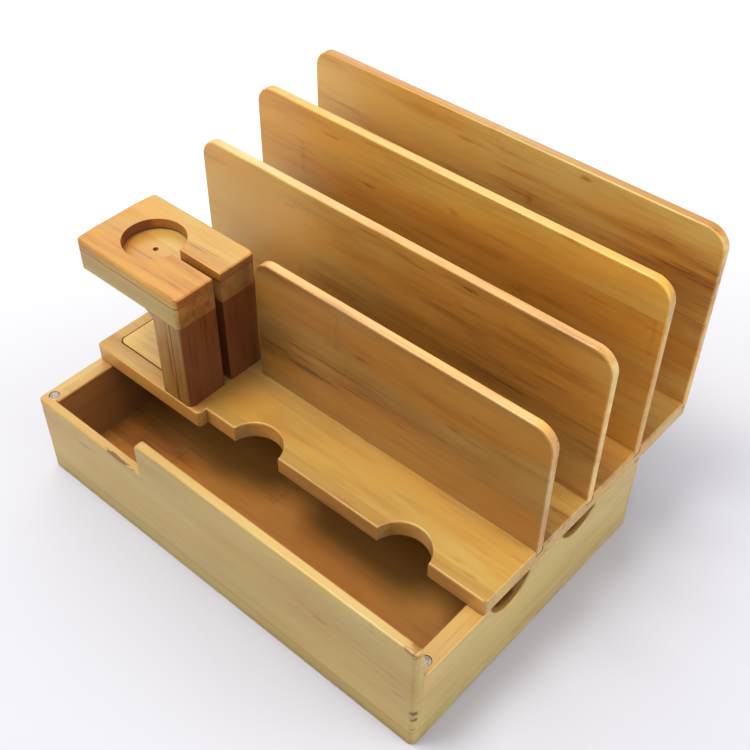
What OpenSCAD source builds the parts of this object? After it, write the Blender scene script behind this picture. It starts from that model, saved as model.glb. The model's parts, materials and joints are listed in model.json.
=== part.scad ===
// Bamboo charging station organizer, in millimetres
// X runs along the front, Y to the back and Z up
// The origin is the centre of the case's underside

/* [Case] */
// Length of the case along the front
case_length = 250; // [220:1:300]
// Depth of the case from front to back
case_depth = 170; // [160:1:200]
// Height of the side walls' top edges above the table
case_height = 49.5; // [44:0.5:70]
// Thickness of the left and right walls
side_thick = 10; // [9:0.5:14]
// Thickness of the front and back walls
face_thick = 5.2; // [4:0.1:8]
// Thickness of the bottom board
bottom_thick = 10; // [7:0.5:14]
// Height of the front lip above the side walls
lip_rise = 21.3; // [14:0.1:30]
// Radius of the case's upright outer corners
case_corner = 3; // [1:0.5:4]
// Radius on the lip's two upper corners
lip_corner = 3; // [1:0.5:6]
// Radius of the fillet at the foot of the lip
lip_fillet = 0.4; // [0.2:0.1:0.5]

/* [Side notches] */
// Radius of both half-moon cable notches
notch_radius = 14.4; // [12:0.2:16]
// Depth of the front notch below the wall's top edge
front_notch_depth = 12; // [8:0.5:14]
// Depth of the rear notch below the wall's top edge
rear_notch_depth = 9; // [6:0.5:14]
// Distance of the front notch's middle from the front face
front_notch_y = 65.4; // [60:0.2:70]
// Distance of the rear notch's middle from the front face
rear_notch_y = 117.6; // [104:0.2:125]

/* [Lid] */
// Thickness of the lid board
lid_thick = 10; // [8:0.5:14]
// How far the lid stands slid back from the closed place
lid_back = 40; // [20:0.5:60]
// Gap between the closed lid and the front lip
lip_gap = 0.3; // [0.2:0.1:1]
// Length of lid left over beside the watch stand
wing_margin = 5.5; // [3:0.5:10]
// Gap between the end of the closed lid's wing and the lip
wing_gap = 0.6; // [0.5:0.1:2]
// Radius of the lid's corners seen from above
lid_corner = 2.5; // [1:0.5:5]
// Radius of the two cable cut-outs in the front edge
cutout_radius = 15; // [10:0.5:18]
// Depth of the cut-outs from the front edge
cutout_depth = 12.5; // [8:0.5:16]
// Distance of the left cut-out's middle from the end of the wing
left_cutout_x = 34.2; // [26:0.2:42]
// Distance of the right cut-out's middle from the lid's right end
right_cutout_x = 46.4; // [40:0.2:56]

/* [Dividers] */
// Thickness of the divider boards
divider_thick = 5.2; // [4:0.1:7]
// Depth of the grooves that the dividers are glued into
groove_depth = 4; // [2:0.5:5]
// Glue gap on each side of a divider in its groove
groove_gap = 0.05; // [0.02:0.01:0.1]
// Distance of the front divider from the lid's front edge
front_shelf = 41.8; // [36:0.2:50]
// Clear width of the first bay
first_bay = 34; // [28:0.5:38]
// Clear width of the second bay
second_bay = 34.8; // [28:0.2:38]
// Height of the front divider above the lid
front_divider_height = 73; // [50:0.5:110]
// Height of the second divider above the lid
second_divider_height = 87.5; // [50:0.5:120]
// Height of the third divider above the lid
third_divider_height = 100; // [60:0.5:130]
// Height of the rear divider above the lid
rear_divider_height = 102.5; // [60:0.5:140]
// Radius of the dividers' upper corners
divider_corner = 11; // [4:0.5:20]
// Gap between the watch stand and the front divider
stand_to_divider = 7.4; // [3:0.1:20]
// Distance of the other dividers' left ends from the lid's left end
divider_inset = 3.7; // [0:0.1:12]

/* [Watch stand] */
// Length of the arm
arm_length = 71.6; // [66:0.2:84]
// Width of the stand from front to back
stand_width = 50; // [44:0.5:60]
// Distance of the arm's left end from the lid's left end
arm_inset = 0.3; // [0:0.1:3]
// Distance of the stand's front from the lid's front edge
stand_setback = 0.4; // [0:0.1:3]
// Height of the arm's underside above the lid
arm_clearance = 50.4; // [40:0.2:70]
// Thickness of the arm's upper board
arm_top_thick = 5.4; // [4:0.2:6]
// Thickness of the arm's lower board
arm_base_thick = 12; // [10:0.5:16]
// Thickness of the post's inner board
post_inner_thick = 12; // [10:0.5:16]
// Thickness of the post's outer board
post_outer_thick = 7.5; // [7:0.1:10]
// Radius of the stand's corners seen from above
stand_corner = 3; // [1:0.5:5]
// Radius under the arm's free end and where it meets the post
arm_round = 4; // [1:0.5:6]
// Diameter of the recess for the watch charger
recess_diameter = 31.6; // [27:0.2:34]
// Depth of the recess
recess_depth = 6.3; // [6.1:0.1:8]
// Distance of the recess's middle from the arm's left end
recess_x = 28.6; // [20:0.2:30]
// Width of the cable slot
slot_width = 4.6; // [4:0.1:6]
// Depth of the cable slot in the post's face
slot_depth = 6; // [4.5:0.1:6.5]
// Radius of the mark left by the drill's centre spur
spur_radius = 1.4; // [0.5:0.1:2]
// Depth of the mark left by the drill's centre spur
spur_depth = 2; // [1:0.5:3]

/* [Foot plate] */
// Thickness of the foot plate
plate_thick = 4; // [3:0.2:5]
// Width of the foot plate from front to back
plate_width = 31.4; // [28:0.2:40]
// Distance of the foot plate's left end from the lid's left end
plate_inset = 7.2; // [5:0.1:12]
// Radius of the foot plate's corners
plate_corner = 3.5; // [1:0.5:6]
// Gap around the foot plate in its pocket
pocket_gap = 0.3; // [0.2:0.05:0.6]

/* [Magnets] */
// Diameter of the magnets
magnet_diameter = 5.6; // [4:0.1:7]
// Thickness of the magnets
magnet_thick = 3; // [1.5:0.5:4]
// Distance of the magnets' middles from the lid's edges
magnet_inset = 6.8; // [5.5:0.1:9]
// Depth of the magnets' faces below the wood
magnet_sink = 0.2; // [0.1:0.1:0.5]
// Glue gap around a magnet
magnet_gap = 0.05; // [0.02:0.01:0.1]

/* [Screws and dowels] */
// Radius of the case screws' shanks
case_screw_radius = 1.75; // [1.5:0.25:2.25]
// Radius of the case screws' heads
case_screw_head = 3.5; // [3:0.25:4]
// Depth that the case screws bite into the side walls
case_screw_bite = 18; // [10:1:22]
// Distance of the end case screws from the front and back faces
case_screw_inset = 25; // [15:1:40]
// Radius of the stand screws' shanks
stand_screw_radius = 1.5; // [1:0.25:2]
// Radius of the stand screws' heads
stand_screw_head = 3; // [2.5:0.25:3.5]
// Depth that the stand screws bite into the post
stand_screw_bite = 16; // [10:1:20]
// Distance between the two stand screws
stand_screw_spacing = 18; // [12:1:22]
// Depth of the screw heads below the wood
screw_sink = 0.5; // [0.3:0.1:1]
// Radius of the dowels between the arm and the post
dowel_radius = 3; // [2:0.5:4]
// Length of the dowels
dowel_length = 20; // [16:1:24]
// Depth that the dowels enter the arm
dowel_in_arm = 8; // [6:0.5:9]
// Distance between the two dowels
dowel_spacing = 26; // [16:1:34]
// Gap between a screw or dowel and its hole
hole_gap = 0.03; // [0.01:0.01:0.1]

/* [Hidden] */
bamboo = [0.84, 0.68, 0.42];
bamboo_light = [0.93, 0.76, 0.48];
bamboo_dark = [0.62, 0.42, 0.2];
steel = [0.72, 0.72, 0.74];
round_faces = 64;
past = 1; // how far a cutter runs past the face that it cuts

// Levels above the table
lid_z = case_height;
lid_top = lid_z + lid_thick;
arm_z = lid_top + arm_clearance;
arm_top_z = arm_z + arm_base_thick;
stand_top = arm_top_z + arm_top_thick;

// The lid: a wing at the left that closes over the low front wall, and a main part behind the lip
post_thick = post_inner_thick + post_outer_thick;
wing_length = arm_inset + arm_length + wing_margin;
wing_reach = face_thick + lip_gap;
lip_start = wing_length + wing_gap;
lid_depth = case_depth;
cutout_centres = [wing_length + left_cutout_x, case_length - right_cutout_x];

// The dividers, from front to back
front_divider_start = arm_inset + arm_length + stand_to_divider;
second_divider_y = front_shelf + divider_thick + first_bay;
third_divider_y = second_divider_y + divider_thick + second_bay;
rear_divider_y = lid_depth - divider_thick;

// The stand's parts, measured from the lid's front left corner
post_x = arm_inset + arm_length - post_thick;
outer_x = post_x + post_inner_thick;
stand_right = arm_inset + arm_length;
stand_middle = stand_setback + stand_width / 2;
recess_middle = [arm_inset + recess_x, stand_middle];
plate_length = outer_x - plate_inset;
plate_y = stand_middle - plate_width / 2;
joint_x = post_x + post_inner_thick / 2;

// Magnet places on the lid, with the front right one behind the lip
magnet_left = side_thick / 2;
magnet_right = case_length - side_thick / 2;
magnet_places = [
    [magnet_left, magnet_inset],
    [magnet_right, wing_reach + magnet_inset],
    [magnet_left, lid_depth - magnet_inset],
    [magnet_right, lid_depth - magnet_inset]
];
magnet_seat = magnet_thick + magnet_sink;

// Case screws: three up into each side wall
case_screw_places = [
    for (x = [magnet_left, magnet_right])
        for (y = [case_screw_inset, case_depth / 2, case_depth - case_screw_inset])
            [x, y]
];
case_screw_length = bottom_thick - screw_sink + case_screw_bite;
stand_screw_length = plate_thick - screw_sink + stand_screw_bite;

// Turns coordinates measured from the case's front left corner into the part's own frame
module on_case() {
    translate([-case_length / 2, -case_depth / 2, 0]) children();
}

// The same for what rides on the lid, which stands slid back
module on_lid() {
    on_case() translate([0, lid_back, 0]) children();
}

// A rectangle with round corners
module rounded_rect(size, r) {
    translate([r, 0]) square([size.x - 2 * r, size.y]);
    translate([0, r]) square([size.x, size.y - 2 * r]);
    for (x = [r, size.x - r], y = [r, size.y - r])
        translate([x, y]) circle(r = r, $fn = round_faces);
}

// The inner fillet of a square corner, with its own corner at the origin
module fillet(r) {
    difference() {
        square(r);
        translate([r, r]) circle(r = r, $fn = round_faces);
    }
}

// Stands a flat outline up along X, with its thickness towards the back
module upright(thick) {
    translate([0, thick, 0]) rotate([90, 0, 0]) linear_extrude(height = thick) children();
}

// A countersunk wood screw that points up, with a cross in its head
module wood_screw(length, shank, head) {
    tip = 2 * shank;
    cross_width = head / 3;
    cross_depth = (head - shank) * 0.8;
    difference() {
        rotate_extrude($fn = round_faces)
            polygon([
                [0, 0],
                [head, 0],
                [shank, head - shank],
                [shank, length - tip],
                [0, length]
            ]);
        for (turn = [0, 90])
            rotate(turn)
                translate([-head * 0.6, -cross_width / 2, -past])
                    cube([head * 1.2, cross_width, cross_depth + past]);
    }
}

// The hole that a wood screw fits, open below
module screw_hole(length, shank, head) {
    translate([0, 0, -past]) cylinder(r = head + hole_gap, h = past + hole_gap, $fn = round_faces);
    cylinder(r1 = head + hole_gap, r2 = shank + hole_gap, h = head - shank, $fn = round_faces);
    cylinder(r = shank + hole_gap, h = length + hole_gap, $fn = round_faces);
}

module case_screw_holes() {
    for (place = case_screw_places)
        translate([place.x, place.y, screw_sink])
            screw_hole(case_screw_length, case_screw_radius, case_screw_head);
}

// Blind holes in the tops of the walls for the case magnets
module case_magnet_holes() {
    for (place = magnet_places)
        translate([place.x, place.y, case_height - magnet_seat])
            cylinder(d = magnet_diameter + 2 * magnet_gap, h = magnet_seat + past, $fn = round_faces);
}

// A plain wall board that stands on the bottom board
module wall_board(size) {
    translate([0, 0, bottom_thick]) cube([size.x, size.y, case_height - bottom_thick]);
}

module case_outline() {
    rounded_rect([case_length, case_depth], case_corner);
}

module bottom_board() {
    color(bamboo) on_case() difference() {
        linear_extrude(height = bottom_thick) case_outline();
        case_screw_holes();
    }
}

// The front wall's outline: low beside the watch stand, then a lip
module front_outline() {
    low = case_height - bottom_thick;
    high = low + lip_rise;
    square([case_length, low]);
    translate([lip_start, 0]) square([case_length - lip_start, high - lip_corner]);
    translate([lip_start + lip_corner, 0])
        square([case_length - lip_start - 2 * lip_corner, high]);
    for (x = [lip_start + lip_corner, case_length - lip_corner])
        translate([x, high - lip_corner]) circle(r = lip_corner, $fn = round_faces);
    translate([lip_start, low]) mirror([1, 0]) fillet(lip_fillet);
}

module front_wall() {
    color(bamboo) on_case() difference() {
        intersection() {
            translate([0, 0, bottom_thick]) upright(face_thick) front_outline();
            linear_extrude(height = case_height + lip_rise) case_outline();
        }
        case_magnet_holes();
    }
}

module back_wall() {
    color(bamboo) on_case() difference() {
        intersection() {
            translate([0, case_depth - face_thick, 0]) wall_board([case_length, face_thick]);
            linear_extrude(height = case_height) case_outline();
        }
        case_magnet_holes();
    }
}

// A half-moon notch across a side wall's top edge
module notch(y, depth) {
    translate([-past, y, case_height - depth + notch_radius])
        rotate([0, 90, 0])
            cylinder(r = notch_radius, h = side_thick + 2 * past, $fn = 96);
}

// The left and right walls are cut alike
module side_wall(x) {
    difference() {
        translate([x, face_thick, 0])
            wall_board([side_thick, case_depth - 2 * face_thick]);
        translate([x, 0, 0]) {
            notch(front_notch_y, front_notch_depth);
            notch(rear_notch_y, rear_notch_depth);
        }
        case_screw_holes();
        case_magnet_holes();
    }
}

module left_wall() {
    color(bamboo) on_case() side_wall(0);
}

module right_wall() {
    color(bamboo) on_case() side_wall(case_length - side_thick);
}

module case_screws() {
    color(steel) on_case()
        for (place = case_screw_places)
            translate([place.x, place.y, screw_sink])
                wood_screw(case_screw_length, case_screw_radius, case_screw_head);
}

module case_magnets() {
    color(steel) on_case()
        for (place = magnet_places)
            translate([place.x, place.y, case_height - magnet_seat])
                cylinder(d = magnet_diameter, h = magnet_thick, $fn = round_faces);
}

// The lid seen from above, with its wing and the two cable cut-outs
module lid_outline() {
    difference() {
        union() {
            rounded_rect([wing_length, lid_depth], lid_corner);
            translate([0, wing_reach])
                rounded_rect([case_length, lid_depth - wing_reach], lid_corner);
        }
        for (x = cutout_centres)
            translate([x, wing_reach + cutout_depth - cutout_radius])
                circle(r = cutout_radius, $fn = 96);
    }
}

// A groove in the lid's top, open at the right end
module divider_groove(x, y) {
    translate([x, y - groove_gap, lid_top - groove_depth])
        cube([case_length - x + past, divider_thick + 2 * groove_gap, groove_depth + past]);
}

// The pocket for the stand's foot plate
module plate_pocket() {
    translate([plate_inset - pocket_gap, plate_y - pocket_gap, lid_top - plate_thick])
        linear_extrude(height = plate_thick + past)
            rounded_rect(
                [plate_length + 2 * pocket_gap, plate_width + 2 * pocket_gap],
                plate_corner + pocket_gap
            );
}

module lid_board() {
    color(bamboo_light) on_lid() difference() {
        translate([0, 0, lid_z]) linear_extrude(height = lid_thick) lid_outline();
        divider_groove(front_divider_start, front_shelf);
        divider_groove(divider_inset, second_divider_y);
        divider_groove(divider_inset, third_divider_y);
        divider_groove(divider_inset, rear_divider_y);
        plate_pocket();
        for (place = magnet_places)
            translate([place.x, place.y, lid_z - past])
                cylinder(d = magnet_diameter + 2 * magnet_gap, h = magnet_seat + past, $fn = round_faces);
    }
}

module lid_magnets() {
    color(steel) on_lid()
        for (place = magnet_places)
            translate([place.x, place.y, lid_z + magnet_sink])
                cylinder(d = magnet_diameter, h = magnet_thick, $fn = round_faces);
}

// A divider board with round upper corners, glued into its groove
module divider(x, y, height) {
    length = case_length - x;
    full = groove_depth + height;
    color(bamboo) on_lid() translate([x, y, lid_top - groove_depth]) upright(divider_thick) {
        square([length, full - divider_corner]);
        translate([divider_corner, 0]) square([length - 2 * divider_corner, full]);
        for (at = [divider_corner, length - divider_corner])
            translate([at, full - divider_corner]) circle(r = divider_corner, $fn = round_faces);
    }
}

module front_divider() {
    divider(front_divider_start, front_shelf, front_divider_height);
}

module second_divider() {
    divider(divider_inset, second_divider_y, second_divider_height);
}

module third_divider() {
    divider(divider_inset, third_divider_y, third_divider_height);
}

module rear_divider() {
    divider(divider_inset, rear_divider_y, rear_divider_height);
}

// The column of space that all the stand's boards are rounded to
module stand_column() {
    translate([arm_inset, stand_setback, lid_top])
        linear_extrude(height = stand_top - lid_top)
            rounded_rect([arm_length, stand_width], stand_corner);
}

// The charger's recess with the drill's centre mark, and the cable slot along the arm and down the post
module recess_and_slot() {
    translate([recess_middle.x, recess_middle.y, stand_top - recess_depth]) {
        cylinder(d = recess_diameter, h = recess_depth + past, $fn = 128);
        translate([0, 0, -spur_depth])
            cylinder(r = spur_radius, h = spur_depth + past, $fn = 32);
    }
    translate([recess_middle.x, recess_middle.y - slot_width / 2, stand_top - recess_depth])
        cube([stand_right - recess_middle.x + past, slot_width, recess_depth + past]);
    translate([stand_right - slot_depth, recess_middle.y - slot_width / 2, lid_top - past])
        cube([slot_depth + past, slot_width, stand_top - lid_top + 2 * past]);
}

module dowel_places() {
    for (side = [-1, 1])
        translate([joint_x, stand_middle + side * dowel_spacing / 2, arm_z + dowel_in_arm - dowel_length])
            children();
}

module dowel_holes() {
    dowel_places() translate([0, 0, -hole_gap])
        cylinder(r = dowel_radius + hole_gap, h = dowel_length + 2 * hole_gap, $fn = round_faces);
}

module stand_screw_places() {
    for (side = [-1, 1])
        translate([
            joint_x,
            stand_middle + side * stand_screw_spacing / 2,
            lid_top - plate_thick + screw_sink
        ])
            children();
}

module stand_screw_holes() {
    stand_screw_places() screw_hole(stand_screw_length, stand_screw_radius, stand_screw_head);
}

module arm_top() {
    color(bamboo_light) on_lid() difference() {
        intersection() {
            translate([arm_inset, stand_setback, arm_top_z])
                cube([arm_length, stand_width, arm_top_thick]);
            stand_column();
        }
        recess_and_slot();
    }
}

module arm_base() {
    color(bamboo) on_lid() difference() {
        intersection() {
            translate([arm_inset, stand_setback, arm_z]) upright(stand_width) {
                translate([arm_round, 0]) square([arm_length - arm_round, arm_base_thick]);
                translate([0, arm_round]) square([arm_length, arm_base_thick - arm_round]);
                translate([arm_round, arm_round]) circle(r = arm_round, $fn = round_faces);
            }
            stand_column();
        }
        recess_and_slot();
        dowel_holes();
    }
}

module post_inner() {
    color(bamboo_dark) on_lid() difference() {
        translate([post_x, stand_setback, lid_top]) upright(stand_width) {
            square([post_inner_thick, arm_clearance]);
            translate([0, arm_clearance]) rotate(180) fillet(arm_round);
        }
        dowel_holes();
        stand_screw_holes();
    }
}

module post_outer() {
    color(bamboo_dark) on_lid() difference() {
        intersection() {
            translate([outer_x, stand_setback, lid_top])
                cube([post_outer_thick, stand_width, arm_clearance]);
            stand_column();
        }
        recess_and_slot();
    }
}

module arm_dowels() {
    color(bamboo_light) on_lid() dowel_places()
        cylinder(r = dowel_radius, h = dowel_length, $fn = round_faces);
}

module foot_plate() {
    color(bamboo_light) on_lid() difference() {
        translate([plate_inset, plate_y, lid_top - plate_thick])
            linear_extrude(height = plate_thick)
                rounded_rect([plate_length, plate_width], plate_corner);
        stand_screw_holes();
    }
}

module stand_screws() {
    color(steel) on_lid() stand_screw_places()
        wood_screw(stand_screw_length, stand_screw_radius, stand_screw_head);
}

bottom_board();
front_wall();
back_wall();
left_wall();
right_wall();
case_screws();
case_magnets();
lid_board();
lid_magnets();
front_divider();
second_divider();
third_divider();
rear_divider();
arm_top();
arm_base();
post_inner();
post_outer();
arm_dowels();
foot_plate();
stand_screws();
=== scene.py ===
# %% [markdown]
# # A bamboo charging station, dressed for its picture
# The real object is a desk box of pressed bamboo. A hollow case holds the charger, a lid slides on
# its walls, four thin boards part the phones and tablets, and a small stand holds a watch.
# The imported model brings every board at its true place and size. This lesson adds what the packed
# model leaves out: the sanded edges, the bamboo itself, the studio and the camera.

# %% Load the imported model
import bpy
import bmesh
import json
import math
from mathutils import Matrix, Vector
from types import SimpleNamespace

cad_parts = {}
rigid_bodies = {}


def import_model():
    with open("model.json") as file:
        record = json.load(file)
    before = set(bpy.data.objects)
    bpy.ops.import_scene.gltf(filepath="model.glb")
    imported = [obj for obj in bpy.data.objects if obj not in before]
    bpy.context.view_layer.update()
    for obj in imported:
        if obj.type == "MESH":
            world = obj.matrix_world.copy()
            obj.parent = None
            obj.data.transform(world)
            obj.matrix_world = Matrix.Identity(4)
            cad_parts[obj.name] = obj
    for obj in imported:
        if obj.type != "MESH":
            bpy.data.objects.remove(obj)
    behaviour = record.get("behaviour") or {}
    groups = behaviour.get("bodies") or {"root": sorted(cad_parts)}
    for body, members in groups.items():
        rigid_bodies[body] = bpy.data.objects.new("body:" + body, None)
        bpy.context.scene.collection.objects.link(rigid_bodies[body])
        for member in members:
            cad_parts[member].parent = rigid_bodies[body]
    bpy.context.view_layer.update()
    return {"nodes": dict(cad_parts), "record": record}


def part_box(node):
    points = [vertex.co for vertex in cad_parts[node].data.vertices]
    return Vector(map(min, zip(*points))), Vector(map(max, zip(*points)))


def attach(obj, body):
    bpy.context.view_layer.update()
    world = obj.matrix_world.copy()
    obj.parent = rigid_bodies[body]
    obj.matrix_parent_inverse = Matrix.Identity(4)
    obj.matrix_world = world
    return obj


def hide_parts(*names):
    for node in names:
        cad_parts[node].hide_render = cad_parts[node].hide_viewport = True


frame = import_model()
nodes = frame["nodes"]
scene = bpy.context.scene

# %% [markdown]
# ## The camera
# The picture was taken from the front right and from above, with a lens a little longer than
# normal. The place and the turn of the camera were worked out from the straight edges of the
# boards, so the turn is written as three unit vectors: the picture's right, its down, and the
# sight line from the lens to the object. A small shift of the lens keeps the object where it is in
# the frame, as a cropped photograph does.

# %% Place the camera
picture_right = Vector((0.74918, 0.66233, 0.00639))
picture_down = Vector((0.47405, -0.52942, -0.70356))
sight = Vector((-0.46261, 0.53012, -0.71061))
camera_place = Vector((0.27710, -0.28598, 0.46656))

lens = bpy.data.cameras.new("studio_lens")
lens.sensor_width = 36
lens.lens = 55.871
lens.shift_y = 0.03957
lens.clip_start = 0.01
lens.clip_end = 20
camera = bpy.data.objects.new("studio_camera", lens)
turn = Matrix((picture_right, -picture_down, -sight)).transposed()
camera.matrix_world = Matrix.Translation(camera_place) @ turn.to_4x4()
scene.collection.objects.link(camera)
scene.camera = camera
print("camera at", [round(c, 3) for c in camera.location], "lens", round(lens.lens, 1), "mm")

# %% [markdown]
# ## Small helpers for edit mode
# The boards are worked on as by hand: pick one board, go into edit mode, select some edges, use a
# tool. Four helpers keep that short. `take` makes one object the only selected one, `near` compares
# two numbers, `cut_across` cuts a piece's faces along a plane, and `choose_edges` selects the edges
# that meet a rule about their place. An edge counts as sharp where its two faces meet at more than
# 30 degrees. A rule gets `p`, the edge's middle in millimetres, and `d`, its direction.

# %% Selection helpers
MM = 0.001
SHARP = math.radians(30)


def take(piece):
    """Makes one object the active and only selected one."""
    if bpy.context.mode != "OBJECT":
        bpy.ops.object.mode_set(mode="OBJECT")
    bpy.ops.object.select_all(action="DESELECT")
    piece.select_set(True)
    bpy.context.view_layer.objects.active = piece


def near(value, wanted, within=0.05):
    """True where a number is close to the wanted one."""
    return abs(value - wanted) < within


def cut_across(piece, x):
    """Cuts a piece's faces along the plane at x millimetres and keeps both sides."""
    take(piece)
    bpy.ops.object.mode_set(mode="EDIT")
    bpy.ops.mesh.select_all(action="SELECT")
    bpy.ops.mesh.bisect(plane_co=(x * MM, 0, 0), plane_no=(1, 0, 0))
    bpy.ops.object.mode_set(mode="OBJECT")


def choose_edges(piece, rule):
    """In edit mode, selects the sharp edges that meet the rule."""
    bpy.ops.mesh.select_mode(type="EDGE")
    bpy.ops.mesh.select_all(action="DESELECT")
    shape = bmesh.from_edit_mesh(piece.data)
    found = 0
    for edge in shape.edges:
        if len(edge.link_faces) != 2 or edge.calc_face_angle(0) < SHARP:
            continue
        a, b = (v.co * 1000 for v in edge.verts)
        if rule((a + b) / 2, (b - a).normalized()):
            edge.select = True
            found += 1
    bmesh.update_edit_mesh(piece.data)
    return found


print("helpers ready")

# %% [markdown]
# ## Whole faces from loose triangles
# A packed board comes as loose triangles. Before its edges can be eased, a copy is merged and its
# flat faces are dissolved into whole ones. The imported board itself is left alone: the copy stands
# for it, in the same place and of the same size.

# %% Copy a board and make its faces whole
boards = {}
body_of = {}
for body, names in frame["record"]["behaviour"]["bodies"].items():
    for name in names:
        body_of[name] = body
WELD = 0.002 * MM
FLAT = math.radians(0.4)


def whole_copy(node):
    """A merged copy of a packed board, ready for edge work."""
    take(nodes[node])
    bpy.ops.object.duplicate(linked=False)
    board = bpy.context.object
    board.name = node + "_eased"
    board.data.name = board.name
    bpy.ops.object.parent_clear(type="CLEAR_KEEP_TRANSFORM")
    take(board)
    bpy.ops.mesh.customdata_custom_splitnormals_clear()
    bpy.ops.object.mode_set(mode="EDIT")
    bpy.ops.mesh.select_all(action="SELECT")
    bpy.ops.mesh.remove_doubles(threshold=WELD)
    bpy.ops.mesh.mark_sharp(clear=True)
    bpy.ops.mesh.dissolve_limited(angle_limit=FLAT)
    bpy.ops.object.mode_set(mode="OBJECT")
    boards[node] = board
    return board


for node in [n for n in nodes if "screw" not in n and "magnet" not in n and n != "arm_dowels"]:
    whole_copy(node)
    print(node, "faces:", len(boards[node].data.polygons))

# %% [markdown]
# ## Rounding an edge, and finishing a board
# A real board has no knife edge: sandpaper has gone over it, and the small round catches the light
# as a thin bright line. The Bevel operator makes that round in the mesh, so the line is there from
# every side. Flat faces beside a narrow round one shade wrongly when all are smooth, and the
# Weighted Normal modifier mends that: it lets the large faces decide.

# %% Ease edges and settle a board
def ease(board, radius, rule, steps=3):
    """Rounds the chosen sharp edges to a radius in millimetres."""
    take(board)
    bpy.ops.object.mode_set(mode="EDIT")
    found = choose_edges(board, rule)
    if found:
        bpy.ops.mesh.bevel(
            offset=radius * MM,
            segments=steps,
            profile=0.5,
            affect="EDGES",
            clamp_overlap=False,
            loop_slide=False,
        )
    bpy.ops.object.mode_set(mode="OBJECT")
    print(board.name, "eased", found, "edges by", radius, "mm")


def settle(node):
    """Shades a finished board, lets it ride on its body and stand for its packed twin."""
    board = boards[node]
    take(board)
    bpy.ops.object.shade_smooth_by_angle(angle=math.radians(40))
    weigh = board.modifiers.new("even_light", "WEIGHTED_NORMAL")
    weigh.keep_sharp = True
    weigh.weight = 100
    bpy.ops.object.modifier_apply(modifier=weigh.name)
    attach(board, body_of[node])
    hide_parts(node)


def everywhere(p, d):
    """The rule for a board that is sanded all round."""
    return True


print("easing ready")

# %% [markdown]
# ## Easing the dividers
# A sander runs once round every edge of a thin bamboo board, so all edges of the dividers are
# rounded alike by about a millimetre, below the lid too.

# %% Ease the four dividers
for node in ("front_divider", "second_divider", "third_divider", "rear_divider"):
    ease(boards[node], 1.0, everywhere)
    settle(node)

# %% [markdown]
# ## Easing the lid
# The lid's rim, its cable cut-outs and the step at the wing are eased on both sides. The grooves
# and the pocket for the foot plate stay crisp, because what sits in them hides their edges, and so
# do the rims of the magnets' holes in the underside.

# %% Ease the lid
lid_low, lid_high = (c * 1000 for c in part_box("lid_board"))
magnet_spots = []
for v in nodes["lid_magnets"].data.vertices:
    spot = Vector((v.co.x * 1000, v.co.y * 1000))
    if all((spot - other).length > 8 for other in magnet_spots):
        magnet_spots.append(spot)
print("magnets near", [[round(c) for c in spot] for spot in magnet_spots])


def on_lid_rim(p, d):
    """True on the lid's outer rim, top and bottom, with its step and its cut-outs."""
    top_or_bottom = near(p.z, lid_high.z, 0.1) or near(p.z, lid_low.z, 0.1)
    near_magnet = p.z < lid_low.z + 0.1 and any(
        (Vector((p.x, p.y)) - spot).length < 4 for spot in magnet_spots
    )
    inside = (
        lid_low.x + 2 < p.x < lid_high.x - 2
        and lid_low.y + 20 < p.y < lid_high.y - 1
    )
    return top_or_bottom and not near_magnet and not inside


ease(boards["lid_board"], 1.0, on_lid_rim)
settle("lid_board")

# %% [markdown]
# ## Easing the case
# The walls are glued together first and sanded afterwards, so only the free edges are round: the
# tops of the walls, the notches, the lip and the foot of the bottom board. The glued edges stay
# crisp. A front or back wall's inner edge is free only between the side walls, so its faces are
# cut there first, and the bevel ends at the cut.

# %% Say which edges of the walls are free
HALF_LENGTH, HALF_DEPTH = 125, 85
SIDE_INSIDE, FACE_INSIDE = 115, 79.8
MAGNET_X = 120
NOTCH_REACH = 16
ROUND_CORNER = 206
wall_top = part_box("right_wall")[1].z * 1000


def on_side_wall(p, d):
    """The long upper edges and the notches of a side wall, not its glued ends or magnet holes."""
    glued_end = near(d.y, 0, 0.1) and near(abs(p.y), FACE_INSIDE)
    upright = near(d.x, 0, 0.1) and near(d.y, 0, 0.1)
    magnet_hole = near(abs(p.x), MAGNET_X, 3.2) and p.z > wall_top - 0.1 and near(d.z, 0, 0.1)
    return p.z > wall_top - NOTCH_REACH and not (glued_end or upright or magnet_hole)


def on_front_wall(p, d):
    """The upper edges of the front wall, with the lip's upright end."""
    beside_wall = p.x < -SIDE_INSIDE
    magnet_hole = abs(d.x) < 0.999 and near(p.y, -FACE_INSIDE, 3) and near(p.x, -MAGNET_X, 3.2)
    glued = near(p.y, -FACE_INSIDE, 0.1)
    return p.z > wall_top - 0.5 and not (beside_wall and (magnet_hole or glued))


def on_back_wall(p, d):
    """The long upper edges of the back wall; the inner one only between the side walls."""
    glued = near(p.y, FACE_INSIDE, 0.1) and abs(p.x) > SIDE_INSIDE
    return p.z > wall_top - 0.1 and abs(d.x) > 0.5 and not glued


def on_foot(p, d):
    """The bottom board's lower outline, where x and y add up to most at the round corners."""
    side = abs(p.x) > HALF_LENGTH - 0.1 or abs(p.y) > HALF_DEPTH - 0.1
    return p.z < 0.1 and (side or abs(p.x) + abs(p.y) > ROUND_CORNER)


print("walls' top at", round(wall_top, 1), "mm")

# %% Ease the walls and the bottom board
for node in ("left_wall", "right_wall"):
    ease(boards[node], 1.1, on_side_wall)
    settle(node)
cut_across(boards["front_wall"], -SIDE_INSIDE)
ease(boards["front_wall"], 1.1, on_front_wall)
settle("front_wall")
for x in (-SIDE_INSIDE, SIDE_INSIDE):
    cut_across(boards["back_wall"], x)
ease(boards["back_wall"], 1.1, on_back_wall)
settle("back_wall")
ease(boards["bottom_board"], 0.8, on_foot)
settle("bottom_board")

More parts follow.
